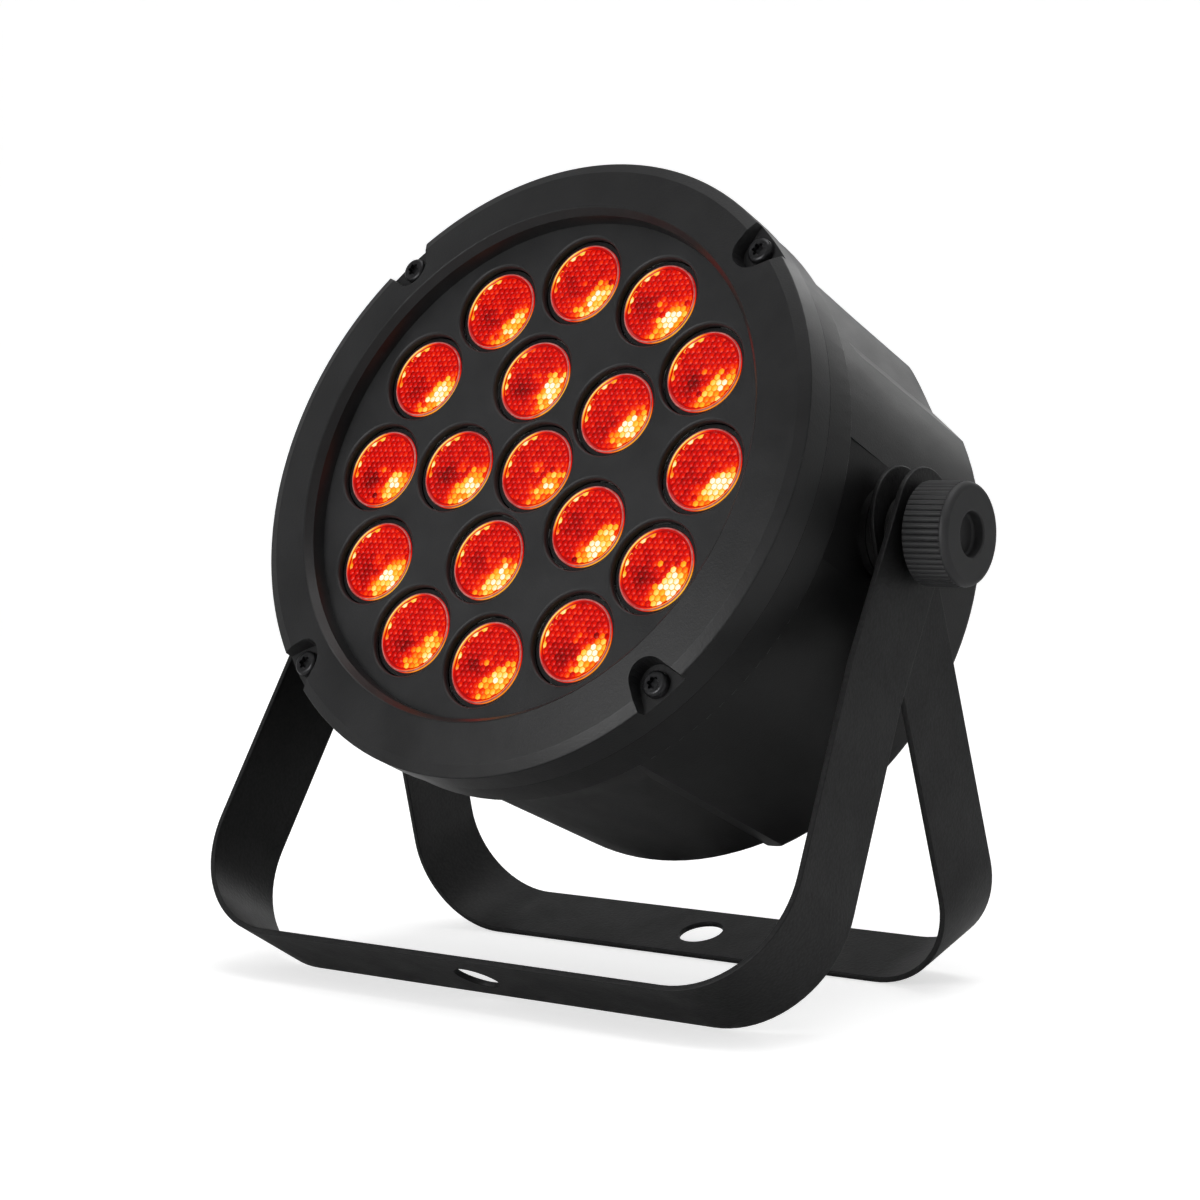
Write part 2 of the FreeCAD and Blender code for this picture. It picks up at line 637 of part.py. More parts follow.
def socket_screws():
    """Flange screws of both data sockets and of the power inlet."""
    pattern = flipped(screw(2.4, 1.4, 1.4, 5.0, six_lobe=False))
    pattern.translate(Vector(0, BACK_Y + 1.8, 0))
    spots = [(side * SOCKET_X + dx, SOCKET_Z + dz) for side in (-1, 1) for dx, dz in FLANGE_HOLES]
    return repeated_at(pattern, spots + [(-20.0, INLET_Z), (20.0, INLET_Z)])


def contact_pins():
    """Three round pins in the first data socket."""
    pin = axial(1.2, BACK_Y - 12.0, BACK_Y - 0.5)
    pin = pin.makeFillet(0.6, ring_edges(pin, [(1.2, BACK_Y - 0.5)]))
    return repeated_at(pin, [(SOCKET_X + x, SOCKET_Z + z) for x, z in CONTACTS])


def inlet_outline(width, height, corner):
    """Rectangle with its two upper corners cut off."""
    w, h = width / 2, height / 2
    return [(-w, -h), (w, -h), (w, h - corner), (w - corner, h), (-w + corner, h), (-w, h - corner)]


def power_inlet():
    """Appliance inlet: flange with two screw ears and a deep shaped recess."""
    outline = inlet_outline(48.0, 22.4, 6.0)
    flange = axial_prism(outline, BACK_Y, BACK_Y + 1.8)
    body = flange.fuse(axial_prism(inlet_outline(27.0, 20.0, 4.0), BACK_Y - 22.0, BACK_Y + 1.8))
    body = body.cut(axial_prism(inlet_outline(24.0, 16.4, 4.6), BACK_Y - 15.0, BACK_Y + 3))
    for x in (-20.0, 20.0):
        body = body.cut(axial(1.5, BACK_Y - 1, BACK_Y + 3, x, 0.0))
    body = body.removeSplitter()
    body.translate(Vector(0, 0, INLET_Z))
    return body


def inlet_blades():
    """Three flat contacts, the middle one lower."""
    blade = block((-1.0, 1.0), (BACK_Y - 15.0, BACK_Y - 1.5), (-2.0, 2.0))
    return repeated_at(blade, [(-7.0, INLET_Z + 1.5), (7.0, INLET_Z + 1.5), (0.0, INLET_Z - 2.5)])


def fuse_holder():
    """Body behind the panel with a slotted screw cap outside."""
    body = axial(5.4, BACK_Y - 18.0, BACK_Y).fuse(axial(7.2, BACK_Y, BACK_Y + 1.4))
    cap = axial(5.6, BACK_Y + 1.3, BACK_Y + 5.0)
    cap = cap.makeFillet(0.6, ring_edges(cap, [(5.6, BACK_Y + 5.0)]))
    cap = cap.cut(block((-5.8, 5.8), (BACK_Y + 3.8, BACK_Y + 6), (-0.7, 0.7)))
    holder = body.fuse(cap).removeSplitter()
    holder.translate(Vector(FUSE_AT[0], 0, FUSE_AT[1]))
    return holder


def safety_eye():
    """Steel eye bolt with a round loop."""
    loop = Part.makeTorus(6.5, 1.8, Vector(0, BACK_Y + 9.6, EYE_Z), X_AXIS)
    stem = axial(2.0, PLATE_Y - 4.0, BACK_Y + 3.4, 0.0, EYE_Z)
    collar = axial(4.2, BACK_Y, BACK_Y + 1.6, 0.0, EYE_Z)
    nut = axial_prism([around(60 * i, 4.0) for i in range(6)], PLATE_Y - 3.2, PLATE_Y)
    nut.translate(Vector(0, 0, EYE_Z))
    return loop.fuse(stem).fuse(collar).fuse(nut).removeSplitter()


# ---- brackets and knobs ----------------------------------------------------------------------------

def inset_outline(points, distance):
    """Open outline of (x, z) points moved to its right-hand side."""
    normals = []
    for (x0, z0), (x1, z1) in zip(points, points[1:]):
        length = math.hypot(x1 - x0, z1 - z0)
        normals.append(((z1 - z0) / length, -(x1 - x0) / length))
    normals = [normals[0]] + normals + [normals[-1]]
    moved = []
    for (x, z), (ax, az), (bx, bz) in zip(points, normals, normals[1:]):
        scale = distance / (1 + ax * bx + az * bz)
        moved.append((x + (ax + bx) * scale, z + (az + bz) * scale))
    return moved


def bracket(ear_x, ear_drop, base_x, leg, corner):
    """U of flat bar hanging from the pivot axis: flat ears, slightly spread legs, straight base."""
    top = EAR_RISE + HALF_BAR
    outer = [(ear_x, top), (ear_x, -ear_drop), (base_x, -leg),
             (-base_x, -leg), (-ear_x, -ear_drop), (-ear_x, top)]
    inner = inset_outline(outer, BAR_THICK)
    start = -HALF_BAR
    outside = path_edges([Vector(x, start, z) for x, z in outer], [EAR_BEND, corner, corner, EAR_BEND])
    inside = path_edges([Vector(x, start, z) for x, z in inner],
                        [EAR_BEND + BAR_THICK, corner - BAR_THICK, corner - BAR_THICK,
                         EAR_BEND + BAR_THICK])
    caps = [Part.makeLine(outside[i].Vertexes[i].Point, inside[i].Vertexes[i].Point) for i in (0, -1)]
    loop = Part.Wire(Part.sortEdges(outside + inside + caps)[0])
    bar = positive(Part.Face(loop).extrude(Vector(0, BAR_WIDTH, 0)))
    far = base_x + 5
    ears = lateral(HALF_BAR, -far, far, 0.0, EAR_RISE)
    ears = ears.fuse(block((-far, far), (-HALF_BAR, HALF_BAR), (-leg - 5, EAR_RISE)))
    bar = bar.common(ears.removeSplitter())
    bar = bar.cut(lateral(STUD_R + STUD_PLAY, -far, far))
    return bar.cut(Part.makeCylinder(HANG_HOLE_R, 10, Vector(0, 0, -leg - 4), Z_AXIS))


def washer(outer, inner, x0, x1):
    return lateral(outer, x0, x1).cut(lateral(inner, x0 - 1, x1 + 1))


def rims_at(solid, x):
    """Circular edges in the plane at x."""
    return [edge for edge in solid.Edges
            if isinstance(edge.Curve, Part.Circle) and abs(edge.Curve.Center.x - x) < 0.01]


def knob_grip():
    """Ribbed grip on the +X side: neck towards the bracket, smooth rounded nose, recess in its end."""
    start, end = KNOB_X
    rib_end = end - KNOB_NOSE
    step = 2 * math.pi / KNOB_RIBS

    def at(radius, angle):
        return Vector(start, radius * math.cos(angle), radius * math.sin(angle))

    root = KNOB_R - RIB_H
    ribs = [Part.Arc(at(root, i * step), at(KNOB_R, (i + 0.5) * step), at(root, (i + 1) * step)).toShape()
            for i in range(KNOB_RIBS)]
    grip = positive(Part.Face(Part.Wire(ribs)).extrude(Vector(rib_end - start, 0, 0)))
    blank = lateral(KNOB_R + 0.1, start, rib_end)
    grip = grip.common(blank.makeFillet(0.7, rims_at(blank, start) + rims_at(blank, rib_end)))
    nose = lateral(KNOB_R - 0.2, rib_end - 0.1, end)
    grip = grip.fuse(nose.makeFillet(KNOB_NOSE - 0.1, rims_at(nose, end)))
    grip = grip.fuse(lateral(8.0, start - KNOB_NECK, start + 0.5))
    recess_r, recess_d = RECESS
    recess = lateral(recess_r, end - recess_d, end + 1)
    grip = grip.cut(recess.makeFillet(0.8, rims_at(recess, end - recess_d)))
    mouth = [edge for edge in rims_at(grip, end) if abs(edge.Curve.Radius - recess_r) < 0.01]
    grip = grip.makeFillet(0.5, mouth)
    return grip.cut(lateral(STUD_R, start - 3, end - 6.0))


def knob_stud():
    """Threaded rod moulded into the grip. Only its inner end carries the thread."""
    end = KNOB_X[1] - 6.0
    rod = lateral(STUD_R, 68.0, end)
    pitch = 1.25
    for i in range(9):
        x = 68.8 + i * pitch
        groove = Part.makePolygon([Vector(x, 0, 3.45), Vector(x - 0.5, 0, 4.2), Vector(x + 0.5, 0, 4.2),
                                   Vector(x, 0, 3.45)])
        rod = rod.cut(positive(Part.Face(groove).revolve(Vector(0, 0, 0), X_AXIS, 360)))
    return rod


# ---- assembly --------------------------------------------------------------------------------------

def head_nodes():
    """Every piece of the head in its level frame."""
    outer, inner, centre = LENS_RINGS
    mains, supply = wires()
    socket_in, socket_out = data_socket(True), data_socket(False)
    socket_in.translate(Vector(SOCKET_X, 0, SOCKET_Z))
    socket_out.translate(Vector(-SOCKET_X, 0, SOCKET_Z))
    insert = pivot_insert()
    washer_end = REAR_EAR_X - BAR_THICK - PLAY
    pad_washer = washer(PAD_WASHER_R, STUD_R + 0.3, PAD_X + BOSS_RISE, washer_end)
    nodes = {
        "rear_housing": rear_housing(),
        "front_bezel": front_bezel(),
        "bezel_screws": bezel_screws(),
        "lens_panel": lens_panel(),
        "outer_lenses": lens_group(outer),
        "inner_lenses": lens_group(inner),
        "centre_lens": lens_group(centre),
        "lens_holders": lens_holders(),
        "led_emitters": led_emitters(),
        "led_board": led_board(),
        "heat_sink": heat_sink(),
        "heat_sink_screws": sink_screws(),
        "board_standoffs": standoffs(),
        "power_board": power_board(),
        "power_transformer": power_transformer(),
        "power_capacitors": power_capacitors(),
        "control_board": control_board(),
        "control_posts": control_posts(),
        "push_switches": push_switches(),
        "display_module": display_module(),
        "mains_wires": mains,
        "led_wires": supply,
        "rear_panel": rear_panel(),
        "rear_panel_screws": panel_screws(),
        "display_window": display_window(),
        "data_socket_in": socket_in,
        "data_socket_out": socket_out,
        "data_contact_pins": contact_pins(),
        "socket_screws": socket_screws(),
        "power_inlet": power_inlet(),
        "inlet_blades": inlet_blades(),
        "fuse_holder": fuse_holder(),
        "safety_eye": safety_eye(),
        "pivot_insert_right": insert,
        "pivot_insert_left": mirrored(insert),
        "pad_washer_right": pad_washer,
        "pad_washer_left": mirrored(pad_washer),
    }
    for name, x in zip(("enter", "down", "up", "menu"), BUTTON_X):
        nodes["button_" + name] = menu_button(x)
    return nodes


def knob_nodes():
    """Knob, stud and washer on each side, about the pivot axis."""
    right = {
        "knob_grip": knob_grip(),
        "knob_stud": knob_stud(),
        "knob_washer": washer(9.5, STUD_R + 0.2, FRONT_EAR_X + PLAY, KNOB_X[0] - KNOB_NECK),
    }
    nodes = {name + "_right": shape for name, shape in right.items()}
    nodes.update({name + "_left": mirrored(shape) for name, shape in right.items()})
    return nodes


def bracket_nodes():
    spacer_end = FRONT_EAR_X - BAR_THICK - PLAY
    ear_washer = washer(PAD_WASHER_R - 1.5, STUD_R + STUD_PLAY, REAR_EAR_X + PLAY, spacer_end)
    return {
        "front_bracket": bracket(FRONT_EAR_X, FRONT_EAR_DROP, FRONT_BASE_X, FRONT_LEG, FRONT_CORNER),
        "ear_washers": group([ear_washer, mirrored(ear_washer)]),
    }, {
        "rear_bracket": bracket(REAR_EAR_X, REAR_EAR_DROP, REAR_BASE_X, REAR_LEG, REAR_CORNER),
    }


def put(shape, angle):
    """Turns a shape about the pivot axis and lifts it to its height above the floor."""
    turn = Placement(Vector(0, 0, PIVOT_Z), Rotation(X_AXIS, angle))
    shape.Placement = turn.multiply(shape.Placement)
    return shape


def lamp():
    """Every piece in place, with the footprint box centred on the origin."""
    front, rear = bracket_nodes()
    pieces = {}
    for nodes, angle in ((head_nodes(), -TILT), (knob_nodes(), 0.0), (front, -FRONT_SPLAY),
                         (rear, REAR_SPLAY)):
        for name, shape in nodes.items():
            pieces[name] = put(shape, angle)
    box = group(list(pieces.values())).optimalBoundingBox()
    pivot_y = -(box.YMin + box.YMax) / 2
    for shape in pieces.values():
        shape.translate(Vector(0, pivot_y, 0))
    print("pivot axis at y", round(pivot_y, 4), "z", round(PIVOT_Z, 4))
    return pieces


os.makedirs("parts", exist_ok=True)
for name, shape in lamp().items():
    shape.exportStep(os.path.join("parts", name + ".step"))
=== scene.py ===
import json
import math
import random

import bmesh
import bpy
from mathutils import Matrix, Vector


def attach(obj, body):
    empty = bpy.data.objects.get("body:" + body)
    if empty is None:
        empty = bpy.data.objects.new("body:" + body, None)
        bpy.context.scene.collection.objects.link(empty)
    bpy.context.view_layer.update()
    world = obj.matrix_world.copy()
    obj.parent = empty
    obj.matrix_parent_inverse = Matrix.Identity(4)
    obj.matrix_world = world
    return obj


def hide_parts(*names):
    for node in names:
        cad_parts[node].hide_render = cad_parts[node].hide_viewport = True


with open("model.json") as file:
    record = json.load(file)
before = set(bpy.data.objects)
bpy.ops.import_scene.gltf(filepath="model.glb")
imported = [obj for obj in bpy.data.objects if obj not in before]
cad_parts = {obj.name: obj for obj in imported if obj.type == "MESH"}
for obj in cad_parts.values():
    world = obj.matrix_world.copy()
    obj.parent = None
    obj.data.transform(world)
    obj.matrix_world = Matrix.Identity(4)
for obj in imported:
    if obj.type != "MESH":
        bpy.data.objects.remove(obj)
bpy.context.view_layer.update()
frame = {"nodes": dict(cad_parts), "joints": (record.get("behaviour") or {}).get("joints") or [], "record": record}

# Looks of an LED par can light on two crossed U brackets.
# Metres, +Z up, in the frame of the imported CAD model. Pieces of the head are drawn in millimetres
# in the head's level frame: pivot axis along X through its origin, and lenses towards -Y.

MM = 0.001
TILT = math.radians(22.5)       # how far the lenses look up at rest
PIVOT = Vector(next(joint["pos_m"] for joint in frame["joints"] if joint["name"] == "head_tilt"))
HEAD = Matrix.Translation(PIVOT) @ Matrix.Rotation(-TILT, 4, "X") @ Matrix.Scale(MM, 4)


# ---- materials -------------------------------------------------------------------------------

class Nodes:
    """A new node material with short ways to add and join nodes. Lengths are in metres."""

    def __init__(self, name):
        self.material = bpy.data.materials.new(name)
        self.material.use_nodes = True
        self.tree = self.material.node_tree
        self.shader = self.tree.nodes["Principled BSDF"]
        self.place = self.add("ShaderNodeTexCoord").outputs["Object"]

    def add(self, kind, **settings):
        node = self.tree.nodes.new(kind)
        for key, value in settings.items():
            setattr(node, key, value)
        return node

    def join(self, source, target):
        self.tree.links.new(source, target)

    def set(self, **values):
        for key, value in values.items():
            self.shader.inputs[key.replace("_", " ")].default_value = value

    def noise(self, scale, detail=3.0, roughness=0.5, stretch=None):
        node = self.add("ShaderNodeTexNoise")
        node.inputs["Scale"].default_value = scale
        node.inputs["Detail"].default_value = detail
        node.inputs["Roughness"].default_value = roughness
        place = self.place
        if stretch:
            mapping = self.add("ShaderNodeMapping")
            mapping.inputs["Scale"].default_value = stretch
            self.join(place, mapping.inputs["Vector"])
            place = mapping.outputs["Vector"]
        self.join(place, node.inputs["Vector"])
        return node.outputs["Fac"]

    def cells(self, scale, feature="F1"):
        node = self.add("ShaderNodeTexVoronoi", feature=feature)
        node.inputs["Scale"].default_value = scale
        self.join(self.place, node.inputs["Vector"])
        return node.outputs["Distance"]

    def remap(self, value, old, new=(0.0, 1.0)):
        node = self.add("ShaderNodeMapRange")
        for key, number in zip(("From Min", "From Max", "To Min", "To Max"), (*old, *new)):
            node.inputs[key].default_value = number
        self.join(value, node.inputs["Value"])
        return node.outputs["Result"]

    def blend(self, factor, first, second):
        """Goes from the first colour to the second as the factor goes from 0 to 1."""
        node = self.add("ShaderNodeMix", data_type="RGBA")
        self.join(factor, node.inputs["Factor"])
        for socket, colour in (("A", first), ("B", second)):
            target = [i for i in node.inputs if i.name == socket and i.type == "RGBA"][0]
            target.default_value = (*colour, 1.0)
        return [o for o in node.outputs if o.type == "RGBA"][0]

    def bump(self, height, distance, strength=1.0, below=None):
        node = self.add("ShaderNodeBump")
        node.inputs["Distance"].default_value = distance
        node.inputs["Strength"].default_value = strength
        self.join(height, node.inputs["Height"])
        if below:
            self.join(below, node.inputs["Normal"])
        return node.outputs["Normal"]

    def finish(self, colour, roughness=None, normal=None):
        for value, name in ((colour, "Base Color"), (roughness, "Roughness"), (normal, "Normal")):
            if value is not None:
                self.join(value, self.shader.inputs[name])
        return self.material


def shade(tone, factor):
    return tuple(channel * factor for channel in tone)


def moulded(name, tone, rough=(0.38, 0.50)):
    """Black moulded plastic: fine spark-eroded grain, small pits and faint flow marks."""
    grain, depth = 0.00042, 0.00004
    n = Nodes(name)
    n.set(Specular_IOR_Level=0.3)
    fine = n.noise(scale=1 / grain, detail=2.0, roughness=0.6)
    pits = n.cells(scale=0.6 / grain)
    marks = n.noise(scale=55.0, detail=4.0, roughness=0.6, stretch=(1.0, 0.35, 1.0))
    colour = n.blend(n.remap(marks, (0.35, 0.7)), shade(tone, 0.8), shade(tone, 1.25))
    roughness = n.remap(marks, (0.3, 0.75), rough)
    normal = n.bump(pits, depth * 0.6, 0.5, below=n.bump(fine, depth, 0.7))
    return n.finish(colour, roughness, normal)


def powder_coat(name, tone, speck=0.00075, depth=0.00006):
    """Textured black powder coat on steel."""
    n = Nodes(name)
    n.set(Specular_IOR_Level=0.28)
    pebbles = n.cells(scale=1 / speck, feature="SMOOTH_F1")
    orange_peel = n.noise(scale=620.0, detail=2.0)
    wear = n.noise(scale=38.0, detail=5.0, roughness=0.65)
    colour = n.blend(n.remap(pebbles, (0.1, 0.75)), shade(tone, 1.35), shade(tone, 0.65))
    roughness = n.remap(wear, (0.3, 0.7), (0.40, 0.55))
    normal = n.bump(orange_peel, 0.00005, 0.5, below=n.bump(pebbles, depth, 0.8))
    return n.finish(colour, roughness, normal)


def rubber(name, tone):
    """Soft-touch rubber with a slightly dusty bloom."""
    n = Nodes(name)
    n.set(Specular_IOR_Level=0.35)
    bloom = n.noise(scale=160.0, detail=4.0, roughness=0.65)
    fine = n.noise(scale=2400.0, detail=2.0)
    colour = n.blend(n.remap(bloom, (0.35, 0.75)), tone, shade(tone, 1.5))
    roughness = n.remap(bloom, (0.3, 0.7), (0.46, 0.62))
    return n.finish(colour, roughness, n.bump(fine, 0.00002, 0.6))


def metal(name, tone, rough=(0.22, 0.38)):
    """Plated or turned metal with fine tool marks."""
    n = Nodes(name)
    n.set(Metallic=1.0)
    marks = n.noise(scale=900.0, roughness=0.6)
    colour = n.blend(n.noise(scale=70.0), shade(tone, 0.9), tone)
    return n.finish(colour, n.remap(marks, (0.3, 0.7), rough), n.bump(marks, 0.000008, 0.4))


def black_oxide(name):
    """Blackened steel, such as screws and clips."""
    n = Nodes(name)
    n.set(Metallic=0.7)
    cloud = n.noise(scale=500.0)
    colour = n.blend(cloud, (0.012, 0.012, 0.013), (0.04, 0.04, 0.042))
    return n.finish(colour, n.remap(cloud, (0.3, 0.7), (0.26, 0.4)), n.bump(cloud, 0.00001, 0.4))


def satin(name, tone, rough=(0.3, 0.42)):
    """Plain satin plastic, board resist or sheath."""
    n = Nodes(name)
    cloud = n.noise(scale=240.0)
    colour = n.blend(cloud, shade(tone, 0.9), shade(tone, 1.1))
    normal = n.bump(n.noise(scale=1800.0), 0.000012, 0.4)
    return n.finish(colour, n.remap(cloud, (0.3, 0.7), rough), normal)


LENS_COLOURS = (                # heat as a share of HOTTEST, and the colour of its light
    (0.0, (0.05, 0.0, 0.0)), (0.14, (0.36, 0.0, 0.0)), (0.26, (0.78, 0.004, 0.0)),
    (0.38, (0.95, 0.05, 0.0)), (0.5, (1.0, 0.24, 0.004)), (0.66, (1.0, 0.52, 0.02)),
    (0.82, (1.0, 0.80, 0.16)), (1.0, (1.0, 1.0, 0.82)),
)


def lens_glow():
    """Lit lens: the colour of the light follows the heat that the mesh's own map holds."""
    n = Nodes("lens_red")
    n.set(Roughness=0.2, Specular_IOR_Level=0.12, Emission_Strength=1.0)
    n.set(Base_Color=(0.05, 0.001, 0.0005, 1.0))
    heat = n.add("ShaderNodeUVMap", uv_map="heat").outputs["UV"]
    across = n.add("ShaderNodeSeparateXYZ")
    n.join(heat, across.inputs["Vector"])
    ramp = n.add("ShaderNodeValToRGB")
    elements = ramp.color_ramp.elements
    for element, (position, colour) in zip(elements, (LENS_COLOURS[0], LENS_COLOURS[-1])):
        element.position, element.color = position, (*colour, 1.0)
    for position, colour in LENS_COLOURS[1:-1]:
        elements.new(position).color = (*colour, 1.0)
    n.join(across.outputs["X"], ramp.inputs["Fac"])
    n.join(ramp.outputs["Color"], n.shader.inputs["Emission Color"])
    return n.material


def lens_rim():
    """Pale edge where light leaves the clear acrylic."""
    n = Nodes("lens_rim")
    n.set(Roughness=0.2, Emission_Strength=0.4)
    cloud = n.noise(scale=420.0, roughness=0.6)
    glow = n.blend(n.remap(cloud, (0.35, 0.65)), (0.40, 0.015, 0.01), (0.75, 0.25, 0.22))
    n.join(glow, n.shader.inputs["Emission Color"])
    return n.finish(n.blend(cloud, (0.25, 0.03, 0.03), (0.4, 0.14, 0.13)))


def lit_segments():
    """Glowing red figures with a soft uneven light."""
    n = Nodes("lit_segments")
    n.set(Roughness=0.3, Emission_Strength=1.3)
    cloud = n.noise(scale=900.0, detail=2.0)
    glow = n.blend(cloud, (0.75, 0.012, 0.005), (1.0, 0.06, 0.03))
    n.join(glow, n.shader.inputs["Emission Color"])
    return n.finish(n.blend(cloud, (0.3, 0.01, 0.01), (0.4, 0.02, 0.02)))


CHARCOAL = (0.0078, 0.0078, 0.0081)

MATERIALS = {
    "housing_plastic": moulded("housing_plastic", CHARCOAL),
    "bezel_plastic": moulded("bezel_plastic", shade(CHARCOAL, 1.7), (0.34, 0.46)),
    "lens_panel_plastic": moulded("lens_panel_plastic", shade(CHARCOAL, 2.4), (0.42, 0.54)),
    "black_screws": black_oxide("black_screws"),
    "holder_plastic": moulded("holder_plastic", shade(CHARCOAL, 0.7)),
    "led": satin("led", (0.8, 0.62, 0.12)),
    "led_board_white": satin("led_board_white", (0.78, 0.8, 0.77)),
    "heat_sink_metal": metal("heat_sink_metal", (0.70, 0.71, 0.72), (0.35, 0.5)),
    "zinc_steel": metal("zinc_steel", (0.62, 0.62, 0.60)),
    "brass": metal("brass", (0.72, 0.52, 0.22)),
    "board_green": satin("board_green", (0.02, 0.16, 0.06)),
    "ferrite": satin("ferrite", (0.06, 0.06, 0.065), (0.5, 0.6)),
    "capacitor_sleeve": satin("capacitor_sleeve", (0.03, 0.035, 0.08)),
    "switch_plastic": satin("switch_plastic", (0.03, 0.03, 0.03)),
    "display_red": satin("display_red", (0.10, 0.004, 0.004)),
    "wire_sheath": satin("wire_sheath", (0.22, 0.09, 0.03)),
    "wire_sheath_red": satin("wire_sheath_red", (0.5, 0.02, 0.015)),
    "panel_paint": powder_coat("panel_paint", shade(CHARCOAL, 1.2), 0.0006, 0.00004),
    "window_clear": satin("window_clear", (0.02, 0.004, 0.004), (0.06, 0.1)),
    "socket_metal": metal("socket_metal", (0.12, 0.12, 0.125), (0.3, 0.45)),
    "contact_metal": metal("contact_metal", (0.72, 0.68, 0.55)),
    "inlet_plastic": satin("inlet_plastic", (0.018, 0.018, 0.018)),
    "nylon_black": satin("nylon_black", (0.006, 0.006, 0.006), (0.45, 0.55)),
    "button_rubber": rubber("button_rubber", (0.03, 0.03, 0.032)),
    "knob_rubber": rubber("knob_rubber", shade(CHARCOAL, 3.0)),
    "black_steel": black_oxide("black_steel"),
    "bracket_paint": powder_coat("bracket_paint", shade(CHARCOAL, 1.1)),
    "red_lens": lens_glow(),
}
LENS_RIM = lens_rim()


# ---- CAD nodes -------------------------------------------------------------------------------

BEVEL_SEGMENTS = 3
WELD_WITHIN = 2e-6              # metres
FLAT_WITHIN = 0.6               # degrees between faces that are merged into one
SOFTENED = {                    # bevel width in mm, least angle of its edges, merge flat faces
    "front_bracket": (0.4, 28, True), "rear_bracket": (0.4, 28, True),
    "front_bezel": (0.15, 15, True), "rear_housing": (0.2, 9, True),
    "lens_panel": (0.3, 28, False),
    "knob_grip_right": (0.12, 28, True), "knob_grip_left": (0.12, 28, True),
    "knob_washer_right": (0.15, 28, True), "knob_washer_left": (0.15, 28, True),
    "rear_panel": (0.2, 28, False),
}


def dress_nodes():
    """Gives every CAD node the material of its slot."""
    for part in frame["record"]["subparts"]:
        for slot in frame["nodes"][part["node"]].material_slots:
            slot.material = MATERIALS[part["material_slot"]]


def smooth(mesh):
    for face in mesh.polygons:
        face.use_smooth = True


def soften(name):
    """Rounds the sharp edges of a CAD node with modifiers alone."""
    width, angle, flat = SOFTENED[name]
    node = frame["nodes"][name]
    smooth(node.data)
    weld = node.modifiers.new("weld", "WELD")
    weld.merge_threshold = WELD_WITHIN
    if flat:
        flatten = node.modifiers.new("flatten", "DECIMATE")
        flatten.decimate_type = "DISSOLVE"
        flatten.angle_limit = math.radians(FLAT_WITHIN)
    bevel = node.modifiers.new("bevel", "BEVEL")
    bevel.width = width * MM
    bevel.segments = BEVEL_SEGMENTS
    bevel.limit_method = "ANGLE"
    bevel.angle_limit = math.radians(angle)
    bevel.harden_normals = True
    bevel.miter_outer = "MITER_ARC"
    normals = node.modifiers.new("normals", "WEIGHTED_NORMAL")
    normals.keep_sharp = True


# ---- drawing ---------------------------------------------------------------------------------

def around(angle, radius):
    return radius * math.cos(angle), radius * math.sin(angle)


def skin(bm, first, second):
    """Joins two closed rings of as many vertices with quads, and returns these."""
    faces = []
    for i in range(len(first)):
        j = (i + 1) % len(first)
        faces.append(bm.faces.new((first[i], first[j], second[j], second[i])))
    return faces


def add_object(name, bm, materials, sharp=None):
    """Makes an object of the mesh, smooth but for edges over sharp degrees, or all flat."""
    bmesh.ops.recalc_face_normals(bm, faces=bm.faces)
    mesh = bpy.data.meshes.new(name)
    bm.to_mesh(mesh)
    bm.free()
    if sharp is not None:
        smooth(mesh)
        mesh.set_sharp_from_angle(angle=math.radians(sharp))
    for material in materials:
        mesh.materials.append(material)
    made = bpy.data.objects.new(name, mesh)
    bpy.context.scene.collection.objects.link(made)
    return made


# ---- lenses ----------------------------------------------------------------------------------

LENS_RINGS = {                  # radius of the ring, lenses on it, angle of the first in degrees
    "outer_lenses": (51.0, 12, 90.0), "inner_lenses": (25.5, 5, 108.0),
    "centre_lens": (0.0, 1, 0.0),
}
LENS_Y = -40.4                  # front of the lenses
LENS_R = 10.55
FACE_R = 9.45                   # the honeycomb ends here and the smooth border begins
FACE_DEPTH = 0.12               # tops of the cells, behind the lens front
CELL = 1.68                     # pitch of the honeycomb on the lens front
CELL_MARGIN = 0.05              # a cell is left out when its middle is nearer the border than this
DOME = 0.26                     # height of one cell's dome
SHOULDER = (0.8, 0.55, 0.7)     # share of the cell's width and of DOME, and heat of its lit side
CROWN = (0.45, 0.14, 0.6)
LENS_BODY = (                   # radius, depth behind the lens front, and 1 where the rim glows
    (9.6, 0.3, 0), (10.1, 0.1, 0), (10.16, 0.0, 0), (10.36, 0.0, 1), (LENS_R, 0.16, 1),
    (LENS_R, 1.6, 0), (9.3, 4.0, 0), (7.2, 7.5, 0), (4.9, 10.0, 0),
)
BORDER_DEPTH = 0.2              # the body glows as its face does down to here, and dimly behind it
LIT_R = 9.8                     # the border glows as the face would here
SHARP_GLASS = 38                # degrees

HOTTEST = 4.0                   # heat that glows white
PLAIN = 0.86                    # heat of the lens away from its bright and dark places
DIM = 0.5                       # heat of the lens body behind the panel
LIT_FROM = -35                  # degrees: the side from which each cell is lit
FLARE_AT = -40                  # degrees: middle of the broad bright side
WHITE_AT = -34                  # degrees: its white-hot place
STREAK_AT = 152                 # degrees: middle of the streak inside the rim, on the other side
GROOVE = 0.62                   # how much darker the grooves between the cells are
SPARKLE_FROM = 1.4              # cells hotter than this vary strongly from one to the next
BORDER_HEAT = 0.95              # heat of the smooth border, as a share of the face's there


def plateau(value, centre, half, soft):
    """1 within half of centre, falling smoothly to 0 over soft."""
    off = (abs(value - centre) - half) / soft
    off = min(max(off, 0.0), 1.0)
    return 1.0 - off * off * (3.0 - 2.0 * off)


def spot(u, v, at, width):
    return math.exp(-((u - at[0]) ** 2 + (v - at[1]) ** 2) / (2 * width ** 2))


